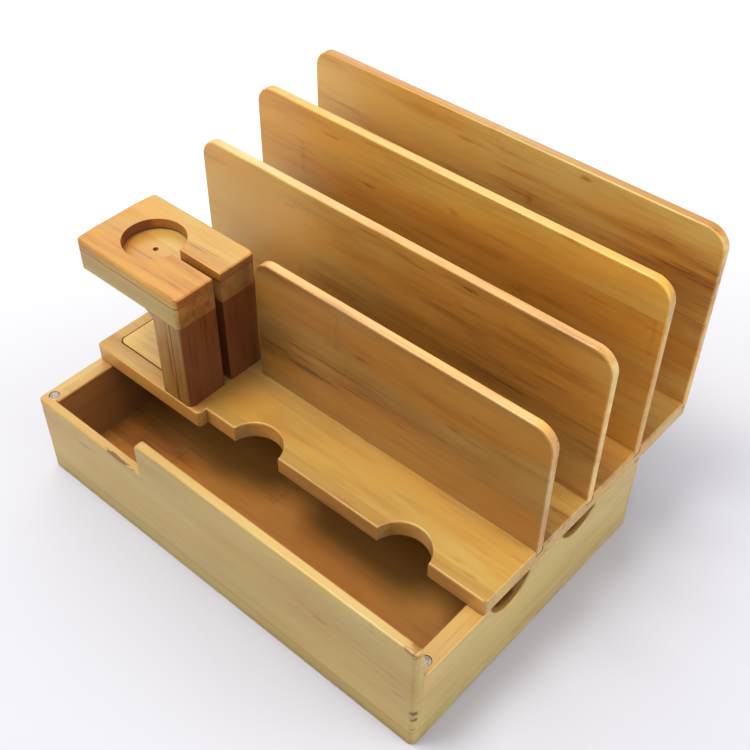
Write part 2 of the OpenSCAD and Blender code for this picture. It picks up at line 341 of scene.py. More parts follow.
# %% [markdown]
# ## Easing the watch stand
# The stand is glued up from two boards for the arm and two for the post, then sanded round. Where
# two boards meet, each keeps a hair-fine chamfer, so the glue line shows as a fine groove. The
# arm's underside can only be sanded where it is free. It ends in a small round corner before the
# post, so its faces are cut at the toe of that corner first.

# %% Say which edges of the stand are which
stand_low, stand_high = (c * 1000 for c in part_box("arm_top"))
arm_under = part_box("arm_base")[0].z * 1000
arm_glue = stand_low.z
INNER_CORNER = 4
corner_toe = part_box("post_inner")[0].x * 1000
post_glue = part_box("post_outer")[0].x * 1000
plate_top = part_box("foot_plate")[1].z * 1000
slot_middle = (stand_low.y + stand_high.y) / 2
SLOT_REACH = 2.8
OUTER_CORNER = 3.2
SANDED, WORN, CRISP, HAIR = 1.3, 0.8, 0.3, 0.15


def on_stand_outline(p):
    """True on the outer rim of the stand, seen from above."""
    return (
        p.x < stand_low.x + OUTER_CORNER or p.x > stand_high.x - OUTER_CORNER
        or near(p.y, stand_low.y, 0.1) or near(p.y, stand_high.y, 0.1)
    )


def in_slot(p):
    """True in the strip of the cable slot, seen from above."""
    return near(p.y, slot_middle, SLOT_REACH)


def on_arm_rim(p, d):
    """The outer rim of the arm's top face, open at the slot."""
    return near(p.z, stand_high.z) and on_stand_outline(p) and not in_slot(p)


def on_recess_rim(p, d):
    """The rims of the recess and the slot in the arm's top face."""
    return near(p.z, stand_high.z) and (in_slot(p) or not on_stand_outline(p))


def on_arm_glue(p, d):
    """The outer rim of the glue joint between the arm's two boards."""
    return near(p.z, arm_glue) and on_stand_outline(p) and not in_slot(p)


def under_arm(p, d):
    """The free outer rim of the arm's underside."""
    return near(p.z, arm_under) and p.x < corner_toe and on_stand_outline(p)


def on_post_face(p, d):
    """The upright edges of the post's face under the arm."""
    return abs(d.z) > 0.9 and near(p.x, corner_toe + INNER_CORNER, 0.1)


def on_post_glue(p, d):
    """The upright edges of the glue joint between the post's two boards."""
    return abs(d.z) > 0.9 and near(p.x, post_glue)


def on_slot_mouth(p, d):
    """The upright edges of the cable slot in the post's outer face."""
    return abs(d.z) > 0.9 and near(p.x, stand_high.x) and in_slot(p)


def on_plate_rim(p, d):
    """The upper rim of the foot plate."""
    return near(p.z, plate_top, 0.1)


print("arm from", round(arm_under, 1), "to", round(stand_high.z, 1), "mm")

# %% Ease the arm
ease(boards["arm_top"], SANDED, on_arm_rim)
ease(boards["arm_top"], CRISP, on_recess_rim, 2)
ease(boards["arm_top"], HAIR, on_arm_glue, 1)
settle("arm_top")

cut_across(boards["arm_base"], corner_toe)
ease(boards["arm_base"], WORN, under_arm)
ease(boards["arm_base"], HAIR, on_arm_glue, 1)
settle("arm_base")

# %% Ease the post and the foot plate
ease(boards["post_inner"], WORN, on_post_face)
ease(boards["post_inner"], HAIR, on_post_glue, 1)
settle("post_inner")
ease(boards["post_outer"], HAIR, on_post_glue, 1)
ease(boards["post_outer"], CRISP, on_slot_mouth, 2)
settle("post_outer")
ease(boards["foot_plate"], CRISP, on_plate_rim, 2)
settle("foot_plate")

# %% [markdown]
# ## How a bamboo board is made, and how its material is
# Bamboo stalks are split into strips about 20 mm wide and 5 mm thick, planed, and pressed side by
# side and in layers. So the look has a few parts: every strip has its own tone, fine fibres and
# darker streaks run along it, and here and there the stalk's knuckle crosses a strip as a short
# dark mark. Where a board is cut across, the fibres show as dots.
# A photograph would carry all this for one side only. A material built from noise and arithmetic
# is solid: it runs through the board, so the sides, edges and ends agree.
# A few helpers add a node, a sum, a soft step or a mix of colours to a material in one line.

# %% Node helpers
def put(tree, kind, feed=None, **settings):
    """Adds a node; feed gives sockets or plain values for its inputs."""
    node = tree.nodes.new(kind)
    for key, value in settings.items():
        setattr(node, key, value)
    for key, value in (feed or {}).items():
        if isinstance(value, bpy.types.NodeSocket):
            tree.links.new(value, node.inputs[key])
        else:
            node.inputs[key].default_value = value
    return node


def calc(tree, how, *values, clamp=False):
    """One step of arithmetic on sockets or numbers."""
    node = put(tree, "ShaderNodeMath", dict(enumerate(values)), operation=how, use_clamp=clamp)
    return node.outputs[0]


def ramp(tree, value, low, high):
    """0 below low, 1 above high, and smooth between; low may be the larger one."""
    node = put(tree, "ShaderNodeMapRange", {"Value": value}, interpolation_type="SMOOTHSTEP")
    flip = low > high
    node.inputs["From Min"].default_value = min(low, high)
    node.inputs["From Max"].default_value = max(low, high)
    node.inputs["To Min"].default_value = 1 if flip else 0
    node.inputs["To Max"].default_value = 0 if flip else 1
    return node.outputs["Result"]


def blend(tree, amount, first, second, how="MIX"):
    """Mixes two colours."""
    feed = {0: amount, 6: first, 7: second}
    return put(tree, "ShaderNodeMix", feed, data_type="RGBA", blend_type=how).outputs[2]


def tinted(tree, amount, colour, tint):
    """Multiplies a colour by a tint where the amount is 1."""
    return blend(tree, amount, colour, blend(tree, 1.0, colour, tint, "MULTIPLY"))


print("node helpers ready")

# %% [markdown]
# ## A board's own directions
# Every board lies its own way, so its material first learns three directions: `along` the fibres,
# `across` the strips, and `depth`, the board's thickness. They come from Object coordinates, which
# are in metres here, so they are scaled to millimetres and all lengths below are real ones. The
# Object normal says which way a face looks, and so whether it is a cut end or a sanded edge.
# Noise that is drawn out along the grain gives everything fibrous. Real fibres wander a little,
# so `across` is pushed about by a slow noise before the other noises use it.

# %% Start a board's material
AXES = {"X": 0, "Y": 1, "Z": 2}


def new_wood(name, grain, side, seed):
    """An empty material with the board's directions; grain and side are axis letters."""
    skin = bpy.data.materials.new(name)
    skin.use_nodes = True
    tree = skin.node_tree
    place = put(tree, "ShaderNodeTexCoord")
    feed = {0: place.outputs["Object"], "Scale": 1000}
    spot = put(tree, "ShaderNodeVectorMath", feed, operation="SCALE").outputs[0]
    split = put(tree, "ShaderNodeSeparateXYZ", {0: spot}).outputs
    facing = put(tree, "ShaderNodeSeparateXYZ", {0: place.outputs["Normal"]}).outputs
    deep = ({0, 1, 2} - {AXES[grain], AXES[side]}).pop()
    across = split[AXES[side]]
    return SimpleNamespace(
        skin=skin, tree=tree, shader=tree.nodes["Principled BSDF"], seed=seed,
        spot=spot, split=split, facing=facing,
        along=split[AXES[grain]], across=across, wavy=across, depth=split[deep],
        end_face=facing[AXES[grain]], edge_face=facing[AXES[side]],
    )


def grain_noise(wood, stretch, squeeze, shift, detail=2.0, rough=0.5):
    """Noise drawn out along the grain; stretch and squeeze are cycles per millimetre."""
    tree = wood.tree
    point = put(tree, "ShaderNodeCombineXYZ", {
        0: calc(tree, "MULTIPLY_ADD", wood.along, stretch, shift + wood.seed * 7.3),
        1: calc(tree, "MULTIPLY_ADD", wood.wavy, squeeze, shift * 1.7 + wood.seed),
        2: calc(tree, "MULTIPLY", wood.depth, squeeze),
    })
    feed = {"Vector": point.outputs[0], "Scale": 1.0, "Detail": detail, "Roughness": rough}
    return put(tree, "ShaderNodeTexNoise", feed).outputs["Fac"]


def bend_grain(wood):
    """Lets the fibres wander a few millimetres to either side."""
    wander = grain_noise(wood, 0.006, 0.012, 3.1, 1.0)
    wood.wavy = calc(wood.tree, "MULTIPLY_ADD", wander, 5.0, wood.across)


print("directions ready")

# %% [markdown]
# ## Strips and fibres
# The strips are counted across the board, and their layers in its depth. White noise turns the
# two counts into three chance numbers, `luck`, which stay the same all over one strip: one is for
# its tone, the others place its knuckles. A fine darker line shows where two strips meet.
# The rest is grain noise at four scales: hair-fine fibres, streaks some 2 mm wide, broad bands of
# a few millimetres, and clouds of a few centimetres. Streaks gather in patches, as they do where a
# stalk was darker. Coordinates are negative left of the middle, so `PAST_ZERO` is added before
# the strips are counted.

# %% Press the strips and draw the fibres
STRIP = 20.4
LAYER = 5.2
PAST_ZERO = 500


def press_strips(wood):
    """Gives each pressed strip its chance numbers, and marks the joint beside it."""
    tree = wood.tree
    from_left = calc(tree, "ADD", wood.across, wood.seed * 3.7 + PAST_ZERO)
    from_below = calc(tree, "ADD", wood.depth, PAST_ZERO + 0.1)
    count = calc(tree, "DIVIDE", from_left, STRIP)
    layer = calc(tree, "FLOOR", calc(tree, "DIVIDE", from_below, LAYER))
    feed = {0: calc(tree, "FLOOR", count), 1: layer, 2: wood.seed + 0.5}
    strip = put(tree, "ShaderNodeCombineXYZ", feed).outputs[0]
    dice = put(tree, "ShaderNodeTexWhiteNoise", {"Vector": strip}, noise_dimensions="3D")
    wood.luck = put(tree, "ShaderNodeSeparateColor", {0: dice.outputs["Color"]}).outputs
    beside = calc(tree, "ABSOLUTE", calc(tree, "SUBTRACT", calc(tree, "FRACT", count), 0.5))
    wood.joint = ramp(tree, beside, 0.485, 0.498)


def draw_fibres(wood):
    """The fine fibres, the darker streaks and bands, and the slow clouds of tone."""
    tree = wood.tree
    wood.fibre = grain_noise(wood, 0.06, 1.5, 11.0, 3.0, 0.6)
    thread = ramp(tree, grain_noise(wood, 0.024, 0.50, 23.0, 2.5, 0.62), 0.52, 0.72)
    wood.broad = ramp(tree, grain_noise(wood, 0.014, 0.15, 31.0, 2.5, 0.6), 0.42, 0.72)
    patch = ramp(tree, grain_noise(wood, 0.009, 0.022, 41.0, 1.0), 0.36, 0.66)
    wood.cloud = grain_noise(wood, 0.012, 0.035, 53.0, 2.0)
    wood.streak = calc(tree, "MULTIPLY", thread, calc(tree, "MULTIPLY_ADD", patch, 0.75, 0.25))


print("strips of", STRIP, "by", LAYER, "mm")

# %% [markdown]
# ## Knuckles, knots and painted patches
# A stalk has a knuckle every 20 cm or so. On a planed strip it is a weak band across, with small
# flecks beside it, and only some strips show one. Noise can't put a mark where the real board has
# it, so the plainest marks are listed as knots: an ellipsoid's middle, its reach along each axis,
# and how much it darkens. The same list holds large patches of painted light and shade, which stand
# in for shadows, shaded corners and sheen. A negative strength makes a paler place. A small knot
# gets a ragged outline, and a large patch a smooth one.

# %% Mark knuckles, knots and painted patches
KNUCKLE_GAP = 210.0
KNUCKLE_START = 900.0
# Patches larger than this, mostly painted light and shade, get a smooth outline.
LARGE_PATCH = 8


def knuckle_marks(wood):
    """How much the stalk's knuckles darken each place."""
    tree = wood.tree
    beat = calc(tree, "MULTIPLY_ADD", wood.luck[1], KNUCKLE_GAP,
                calc(tree, "ADD", wood.along, KNUCKLE_START))
    turn = calc(tree, "FRACT", calc(tree, "DIVIDE", beat, KNUCKLE_GAP))
    half = calc(tree, "ABSOLUTE", calc(tree, "SUBTRACT", turn, 0.5))
    away = calc(tree, "SUBTRACT", calc(tree, "MULTIPLY", half, KNUCKLE_GAP), 2.5)
    crooked = calc(tree, "MULTIPLY_ADD", grain_noise(wood, 0.05, 0.25, 61.0, 2.0), 5.0, away)
    chosen = calc(tree, "GREATER_THAN", wood.luck[2], 0.45)
    band = calc(tree, "MULTIPLY", ramp(tree, crooked, 2.2, 0.3), chosen)
    halo = ramp(tree, crooked, 12.0, 1.0)
    fleck = ramp(tree, grain_noise(wood, 0.16, 0.85, 71.0, 2.0), 0.52, 0.66)
    flecks = calc(tree, "MULTIPLY", calc(tree, "MULTIPLY", halo, fleck),
                  calc(tree, "MULTIPLY", chosen, 0.22))
    return calc(tree, "ADD", calc(tree, "MULTIPLY", band, 0.12), flecks)


def add_knots(wood, mark, knots):
    """Adds the listed knots and the patches of painted light and shade: middle, reach and strength.
    """
    tree = wood.tree
    for middle, reach, strength in knots:
        off = put(tree, "ShaderNodeVectorMath", {0: wood.spot, 1: middle}, operation="SUBTRACT")
        off = put(tree, "ShaderNodeVectorMath", {0: off.outputs[0], 1: reach}, operation="DIVIDE")
        far = put(tree, "ShaderNodeVectorMath", {0: off.outputs[0]}, operation="LENGTH")
        outline = (0.015, 0.12) if max(reach[1:]) >= LARGE_PATCH else (0.2, 1.1)
        ragged = calc(tree, "SUBTRACT", grain_noise(wood, *outline, 67.0, 2.0), 0.5)
        far = calc(tree, "MULTIPLY_ADD", ragged, 1.7, far.outputs["Value"])
        mark = calc(tree, "ADD", mark, calc(tree, "MULTIPLY", ramp(tree, far, 1.0, 0.2), strength))
    return mark


print("knuckles every", KNUCKLE_GAP, "mm")

# %% [markdown]
# ## From light and dark to a colour
# All of that adds up to one number from 0, dark, to 1, light. A colour ramp turns it into the
# wood's dark, middle and light colour: dark bamboo is not only darker but redder, so plain
# darkening would look grey. Last, the hue drifts slowly, here more straw and there more orange.

# %% Colour the wood
WARM = (1.04, 0.95, 0.80)
COOL = (0.98, 1.05, 1.25)


def wood_colour(wood, tones, mark, streaks, strips):
    """The bamboo's colour, before the ends, the edges and the seams."""
    tree = wood.tree
    strip_tone = calc(tree, "SUBTRACT", wood.luck[0], 0.5)
    tone = calc(tree, "MULTIPLY_ADD", strip_tone, 0.26 * strips, 0.80)
    for swing, share in ((wood.cloud, 0.7), (wood.fibre, 0.42)):
        swing = calc(tree, "SUBTRACT", swing, 0.5)
        tone = calc(tree, "ADD", tone, calc(tree, "MULTIPLY", swing, share))
    drops = ((wood.streak, 0.46 * streaks), (wood.broad, 0.30 * streaks),
             (wood.joint, 0.12 * strips))
    for drop, share in drops:
        tone = calc(tree, "SUBTRACT", tone, calc(tree, "MULTIPLY", drop, share))
    tone = calc(tree, "SUBTRACT", tone, mark, clamp=True)

    shades = put(tree, "ShaderNodeValToRGB", {0: tone})
    shades.color_ramp.elements.new(0.5)
    for step, colour in zip(shades.color_ramp.elements, tones):
        step.color = (*colour, 1)
    colour = shades.outputs[0]

    drift = ramp(tree, grain_noise(wood, 0.010, 0.045, 83.0, 2.0), 0.40, 0.62)
    warm, cool = ([1 + (c - 1) * streaks for c in tint] for tint in (WARM, COOL))
    return blend(tree, drift, blend(tree, 1.0, colour, (*warm, 1), "MULTIPLY"),
                 blend(tree, 1.0, colour, (*cool, 1), "MULTIPLY"))


print("wood colour ready")

# %% [markdown]
# ## Cut ends and narrow edges
# One board shows several skins. A cut end is duller and dotted with the fibres' pores; on the
# dividers, the lid and the bottom board its tint is also brighter and bluer, which paints the light
# and reflection that those ends catch from the bright floor and the lamp at the right. A narrow
# edge has a tone of its own, on most boards a paler one. The paler, cooler tint on the dividers'
# tops and on the front faces of the lid, the arm and the outer post is partly sanded wood and
# partly painted sheen and light, and the browner tint on the rear divider's top is painted shade.
# Each skin is a tint that is laid where a face looks the right way, so one material serves the
# whole board.

# %% Tint the ends and the edges
PORES_PER_MM = 1.15


def cut_ends(wood, colour, ends):
    """The cut ends: duller, with the fibres as dots, and on some boards a brighter tint that paints
    light.
    """
    tree = wood.tree
    wood.end = ramp(tree, calc(tree, "ABSOLUTE", wood.end_face), 0.72, 0.92)
    flat = put(tree, "ShaderNodeCombineXYZ", {0: wood.across, 1: wood.depth, 2: wood.seed * 1.0})
    feed = {"Vector": flat.outputs[0], "Scale": PORES_PER_MM, "Randomness": 1.0}
    dots = put(tree, "ShaderNodeTexVoronoi", feed)
    wood.pore = ramp(tree, dots.outputs["Distance"], 0.42, 0.2)
    dark_ends = (*[c * 0.6 for c in ends], 1)
    cut = blend(tree, calc(tree, "MULTIPLY", wood.pore, 0.45), (*ends, 1), dark_ends)
    return tinted(tree, wood.end, colour, cut)


def pale_edges(wood, colour, pale, spare):
    """The narrow edges, tinted partly as sanded wood and partly as painted light; a slot whose
    middle lies at `spare` across the board keeps its colour.
    """
    tree = wood.tree
    edge = ramp(tree, calc(tree, "ABSOLUTE", wood.edge_face), 0.6, 0.95)
    if spare is not None:
        beyond = calc(tree, "ABSOLUTE", calc(tree, "SUBTRACT", wood.across, spare))
        edge = calc(tree, "MULTIPLY", edge, calc(tree, "GREATER_THAN", beyond, 4.0))
    return tinted(tree, edge, colour, (*pale, 1))


print("ends and edges ready")

# %% [markdown]
# ## Insides, the drilled recess and the seams
# The inside faces of the case are tinted redder, and the walls' also darker: painted shade of the
# hollow, with the red of light bounced between its boards. The wall of the drilled recess is
# darker, partly for its cut fibres and partly as painted shade of the recess. Where two boards
# meet, glue and dirt darken a hair's breadth. The first is a tint by the way a face looks. The
# other two need a place as well, so they measure how far a point is from the recess's axis or from
# the plane of the joint.

# %% Tint the insides, the recess and the seams
# The recess wall's tint: partly cut fibres, partly painted shade.
BORED_AND_SHADED = (0.80, 0.58, 0.55)
DIRT = (0.05, 0.022, 0.008)


def shade_inside(wood, colour, axis, sign, tint):
    """Painted shade of a hollow: tints the faces that look along an axis (sign 1) or against it
    (sign -1).
    """
    tree = wood.tree
    inward = calc(tree, "MULTIPLY", wood.facing[AXES[axis]], sign)
    return tinted(tree, ramp(tree, inward, 0.6, 0.95), colour, (*tint, 1))


def bored_wall(wood, colour, x, y, radius):
    """The upright wall of a round hole, darker for its cut fibres and for painted shade."""
    tree = wood.tree
    off = put(tree, "ShaderNodeVectorMath", {0: wood.spot, 1: (x, y, 0)}, operation="SUBTRACT")
    feed = {0: off.outputs[0], 1: (1, 1, 0)}
    off = put(tree, "ShaderNodeVectorMath", feed, operation="MULTIPLY")
    far = put(tree, "ShaderNodeVectorMath", {0: off.outputs[0]}, operation="LENGTH")
    within = calc(tree, "LESS_THAN", far.outputs["Value"], radius)
    wall = calc(tree, "MULTIPLY", within, ramp(tree, wood.facing[2], 0.5, 0.1))
    return tinted(tree, wall, colour, (*BORED_AND_SHADED, 1))


def dark_seam(wood, colour, axis, at, reach, strength):
    """A line of glue and dirt in the plane at a place on an axis."""
    tree = wood.tree
    off = calc(tree, "ABSOLUTE", calc(tree, "SUBTRACT", wood.split[AXES[axis]], at))
    looks = calc(tree, "ABSOLUTE", wood.facing[AXES[axis]])
    beside = calc(tree, "MULTIPLY", calc(tree, "SUBTRACT", 1.0, looks, clamp=True), strength)
    line = calc(tree, "MULTIPLY", ramp(tree, off, reach, reach * 0.4), beside)
    return blend(tree, line, colour, (*DIRT, 1))


print("insides and seams ready")

# %% [markdown]
# ## Lacquer
# The boards have a thin satin lacquer. The fibres still feel through it, so they drive a very low
# bump and a little of the roughness, and a coat on the shader gives the soft second shine. The
# coat is the same all over, so it is set on the shader itself.

# %% Lacquer the wood
def lacquer(wood, colour, coat):
    """Joins colour, roughness and the fibres' fine relief to the shader."""
    tree, shader = wood.tree, wood.shader
    feel = calc(tree, "ADD", calc(tree, "MULTIPLY", wood.fibre, 0.5),
                calc(tree, "MULTIPLY", wood.streak, -0.5))
    pits = calc(tree, "MULTIPLY", calc(tree, "MULTIPLY", wood.pore, wood.end), 0.6)
    feel = calc(tree, "SUBTRACT", feel, pits)
    bump = put(tree, "ShaderNodeBump", {"Height": feel, "Strength": 0.35, "Distance": 0.00006})
    rough = calc(tree, "MULTIPLY_ADD", wood.fibre, 0.14, 0.33)
    rough = calc(tree, "MULTIPLY_ADD", wood.end, 0.12, rough)
    tree.links.new(colour, shader.inputs["Base Color"])
    tree.links.new(rough, shader.inputs["Roughness"])
    tree.links.new(bump.outputs[0], shader.inputs["Normal"])
    shader.inputs["Coat Weight"].default_value = coat
    shader.inputs["Coat Roughness"].default_value = 0.3


print("lacquer ready")

# %% [markdown]
# ## The whole recipe
# `bamboo` runs through the steps in order and gives one board's material. `grain` is the axis that
# the fibres run along and `side` the axis across the strips. `tones` are the dark, middle and light
# colour, `pale` and `ends` the tints of the narrow edges and the cut ends. `streaks` and `strips`
# say how strong these are, and `coat` how shiny the lacquer is. `inner` is a face's axis, sign and
# tint, `bore` the recess's x, y and radius, and a seam is an axis, a place, a reach and a strength.

# %% The bamboo maker
def bamboo(name, grain, side, tones, seed, knots=(), seams=(), streaks=1.0, strips=1.0, coat=0.6,
           pale=(1.0, 1.0, 1.2), ends=(0.95, 1.0, 1.15), inner=None, spare=None, bore=None):
    """A solid bamboo material for one board."""
    wood = new_wood(name, grain, side, seed)
    bend_grain(wood)
    press_strips(wood)
    draw_fibres(wood)
    mark = add_knots(wood, knuckle_marks(wood), knots)
    colour = wood_colour(wood, tones, mark, streaks, strips)
    colour = cut_ends(wood, colour, ends)
    colour = pale_edges(wood, colour, pale, spare)
    if inner:
        colour = shade_inside(wood, colour, *inner)
    if bore:
        colour = bored_wall(wood, colour, *bore)
    for seam in seams:
        colour = dark_seam(wood, colour, *seam)
    lacquer(wood, colour, coat)
    return wood.skin


def tones_of(light):
    """Dark, middle and light tone from the light one; darker wood is also redder."""
    mid = [c * 0.82 * k for c, k in zip(light, (1.0, 0.88, 0.72))]
    dark = [c * 0.40 * k for c, k in zip(light, (1.0, 0.66, 0.40))]
    return dark, mid, light


def dress(node, grain, side, tones, seed, **recipe):
    """Gives one board a bamboo of its own."""
    skin = bamboo(node + "_bamboo", grain, side, tones, seed, **recipe)
    boards[node].data.materials.clear()
    boards[node].data.materials.append(skin)
    print(node, "dressed, grain along", grain)


print("bamboo maker ready")

# %% [markdown]
# ## Dressing the case
# The boards come from different stalks, so each gets a seed of its own and its own light tone. The
# case's outside is pale straw with hardly a streak, and the right wall's paler, cooler tone partly
# paints the sheen of the white floor beside it. Its inside is tinted darker and redder as painted
# shade, and so are the walls of the notches, where a large patch in the middle of the wall's
# thickness paints shade. The low wall has a long brown flaw in its top edge, and the front right
# corner shows three small dark knots. The bottom board is painted darker with shade under the wing,
# in the front left corner and under the lid, and a seam runs along the foot of the case.

# %% Dress the case
STRAW = (0.475, 0.358, 0.110)
# Painted shade: the inside faces of the case are tinted darker and redder.
INSIDE_SHADE_TINT = (0.80, 0.54, 0.56)
SANDED_TOP = (1.0, 0.88, 0.98)
# The notch walls' end tint is browner: partly cut fibres, partly painted shade.
NOTCH_ENDS_AND_SHADE = (0.95, 0.70, 0.50)
CALM = 0.45
# Painted shade in the notches of the side walls.
left_notch_painted_shade = [((-119, -19.6, 44), (5, 15, 14), 1.0), ((-119, 32.6, 46), (5, 14, 12), 1.0)]
right_notch_painted_shade = [((119, -19.6, 44), (5, 15, 14), 1.0), ((119, 32.6, 46), (5, 14, 12), 1.0)]
front_flaws = [
    ((116.4, -85, 33.8), (6, 3, 1.4), 0.3),
    ((71.2, -85, 44.7), (6, 3, 1.4), 0.3),
    ((-90.8, -85, 38.9), (6, 3, 1.6), 0.25),
    ((-63, -84.6, 49.5), (11, 1.7, 1.6), 1.6),
    ((121.5, -82.4, 70), (6, 5, 4), 0.6),
]
corner_knots = [
    ((125, -84, 26), (3, 3, 2.2), 1.3),
    ((125, -84, 21), (3, 3, 1.8), 1.3),
    ((125, -84.5, 13), (3, 2.5, 1.2), 1.0),
]
# Painted shade on the bottom board: under the wing, in the front left corner and under the lid.
bottom_painted_shade = [
    ((-95, -47, 10), (46, 28, 6), 0.46),
    ((-92, -74, 10), (24, 9, 6), 0.6),
    ((-5, -22, 10), (60, 14, 6), 0.15),
]

# The bottom board's inside is tinted redder as painted shade, and its bluish end tint paints light
# on its right end.
dress("bottom_board", "X", "Y", tones_of((0.455, 0.345, 0.10)), 1, streaks=CALM,
      knots=bottom_painted_shade, pale=(0.92, 0.90, 0.72), ends=(1.0, 1.08, 1.5),
      inner=("Z", 1, (1.16, 0.83, 0.66)), seams=[("Z", 10.0, 0.35, 0.4)])
dress("front_wall", "X", "Z", tones_of(STRAW), 2, streaks=CALM, knots=front_flaws + corner_knots,
      pale=SANDED_TOP, inner=("Y", 1, INSIDE_SHADE_TINT), seams=[("Z", 10.0, 0.3, 0.35)])
dress("back_wall", "X", "Z", tones_of(STRAW), 3, streaks=CALM, pale=SANDED_TOP,
      inner=("Y", -1, INSIDE_SHADE_TINT))
dress("left_wall", "Y", "Z", tones_of(STRAW), 4, streaks=CALM, knots=left_notch_painted_shade,
      ends=NOTCH_ENDS_AND_SHADE, pale=SANDED_TOP, inner=("X", 1, INSIDE_SHADE_TINT))
# The right wall's paler, cooler tone partly paints the sheen of the white floor beside it.
dress("right_wall", "Y", "Z", tones_of((0.50, 0.415, 0.155)), 5, streaks=CALM,
      knots=right_notch_painted_shade, ends=NOTCH_ENDS_AND_SHADE, pale=(1.05, 0.85, 0.80), inner=("X", -1, INSIDE_SHADE_TINT))

# %% [markdown]
# ## Dressing the lid and its dividers
# The lid is honey-coloured. Its paler left end and the paler patch by the post are painted light,
# and it is darker and redder at the right ends of the bays. Each divider is a board of its own. The
# front one is the brownest, with painted shadow low down by the post. The second is painted lighter
# at its lower left and turns darker and more russet towards the right, the third is coppery, and
# the rear one is golden with a dark right end and a painted lighter upper left. Their thin upper
# edges are tinted almost cream, partly a sanded tone and partly painted sheen, but the rear one's
# is brown, painted shade. The knots and patches are listed large ones first. A large one shifts the
# tone of a whole region.

# %% Dress the lid
# The first two regions are painted light: the paler wing and a paler patch over the post's shadow.
lid_regions_with_painted_light = [
    ((-100, -30, 57), (45, 22, 20), -0.4),
    ((-45, -22, 59.5), (22, 14, 6), -0.4),
    ((112, 16, 59.5), (36, 16, 6), 0.38),
    ((115, 56, 59.5), (36, 16, 6), 0.18),
    ((-8, -20, 59.5), (24, 12, 6), 0.2),
]
lid_knots = [
    ((110.8, -32.3, 59.5), (6, 1.4, 3), 0.3),
    ((101.9, -29.5, 59.5), (5, 1.2, 3), 0.25),
    ((-36.8, -16.9, 59.5), (6, 1.4, 3), 0.3),
]
# The lid's pale and end tints partly paint light on its front edge and its right end.
dress("lid_board", "X", "Y", tones_of((0.455, 0.293, 0.075)), 6, streaks=0.85,
      knots=lid_regions_with_painted_light + lid_knots, pale=(1.3, 1.24, 1.35), ends=(1.05, 1.15, 1.6))

# %% Dress the dividers
# The first patch is painted shadow of the post, low on the left.
front_knots = [
    ((-28, -3.2, 86), (34, 10, 24), 0.35),
    ((45, -3.2, 90), (75, 10, 12), 0.25),
    ((76.2, -3.2, 102.9), (6, 3, 1.5), 0.4),
    ((21.8, -3.2, 110.2), (7, 3, 1.5), 0.4),
]
# The second patch is painted light on the lower left.
second_knots = [
    ((75, 36, 125), (110, 10, 60), 0.30),
    ((-80, 36, 112), (60, 10, 50), -0.5),
    ((-49.1, 36, 127.2), (6, 3, 1.5), 0.35),
    ((50.4, 36, 142.4), (7, 3, 1.6), 0.4),
    ((-60.8, 36, 133.9), (7, 3, 1.3), 0.35),
]
third_knots = [
    ((-43.3, 76, 132.4), (7, 3, 1.4), 0.35),
    ((8.9, 76, 142.0), (7, 3, 2), 0.45),
    ((71.8, 76, 158.8), (6, 3, 1.4), 0.35),
    ((-67.8, 76, 150.1), (9, 3, 1.5), 0.4),
]
# The second patch is painted light on the upper left.
rear_knots = [
    ((105, 119.8, 115), (60, 10, 50), 0.35),
    ((-70, 119.8, 143), (80, 10, 15), -0.35),
    ((51.2, 119.8, 157.7), (5, 3, 1.8), 0.5),
    ((-20.0, 119.8, 148.9), (7, 3, 1.4), 0.35),
]
golden = ((0.24, 0.088, 0.014), (0.48, 0.262, 0.056), (0.585, 0.405, 0.12))

# The dividers' bright, bluish pale and end tints are partly painted sheen and light; the rear one's
# brown pale is painted shade.
dress("front_divider", "X", "Z", tones_of((0.395, 0.232, 0.054)), 7, knots=front_knots,
      pale=(1.65, 1.5, 2.1), ends=(1.2, 1.34, 2.0))
dress("second_divider", "X", "Z", tones_of((0.55, 0.338, 0.082)), 8, streaks=0.75,
      knots=second_knots, pale=(1.18, 1.12, 1.72), ends=(1.15, 1.4, 2.4))
dress("third_divider", "X", "Z", tones_of((0.585, 0.36, 0.078)), 9, streaks=0.8,
      knots=third_knots, pale=(1.12, 1.09, 1.38), ends=(0.80, 0.90, 1.45))
dress("rear_divider", "X", "Z", golden, 10, streaks=0.75, knots=rear_knots,
      pale=(0.70, 0.51, 0.39))

# %% [markdown]
# ## Dressing the watch stand
# The arm's upper board is amber with a darker, redder end, and its lower board is a little duller.
# The post's inner board is chestnut with strong streaks, and its outer board is steamed bamboo, the
# darkest of all, with pale edges whose tint on the front face is partly sanding and partly painted
# light. A dark patch on the arm's lower board, at its end just above the post, is painted shadow.
# The cable slot runs through three of the boards and isn't sanded, so `spare` keeps its walls dark.
# The plate in the lid's pocket is a light piece of its own.

# %% Dress the watch stand
SLOT_Y = -19.6
glue_in_arm = ("Z", 121.9, 0.5, 0.9)
glue_in_post = ("X", -60.6, 0.4, 0.9)
post_under_arm = ("Z", 109.9, 0.3, 0.7)
recess_wall = (-96.1, SLOT_Y, 16.2)
# Painted shadow: a dark patch on the arm's end just above the post.
end_painted_shadow = ((-53.1, -33, 112), (3, 16, 12), 0.5)

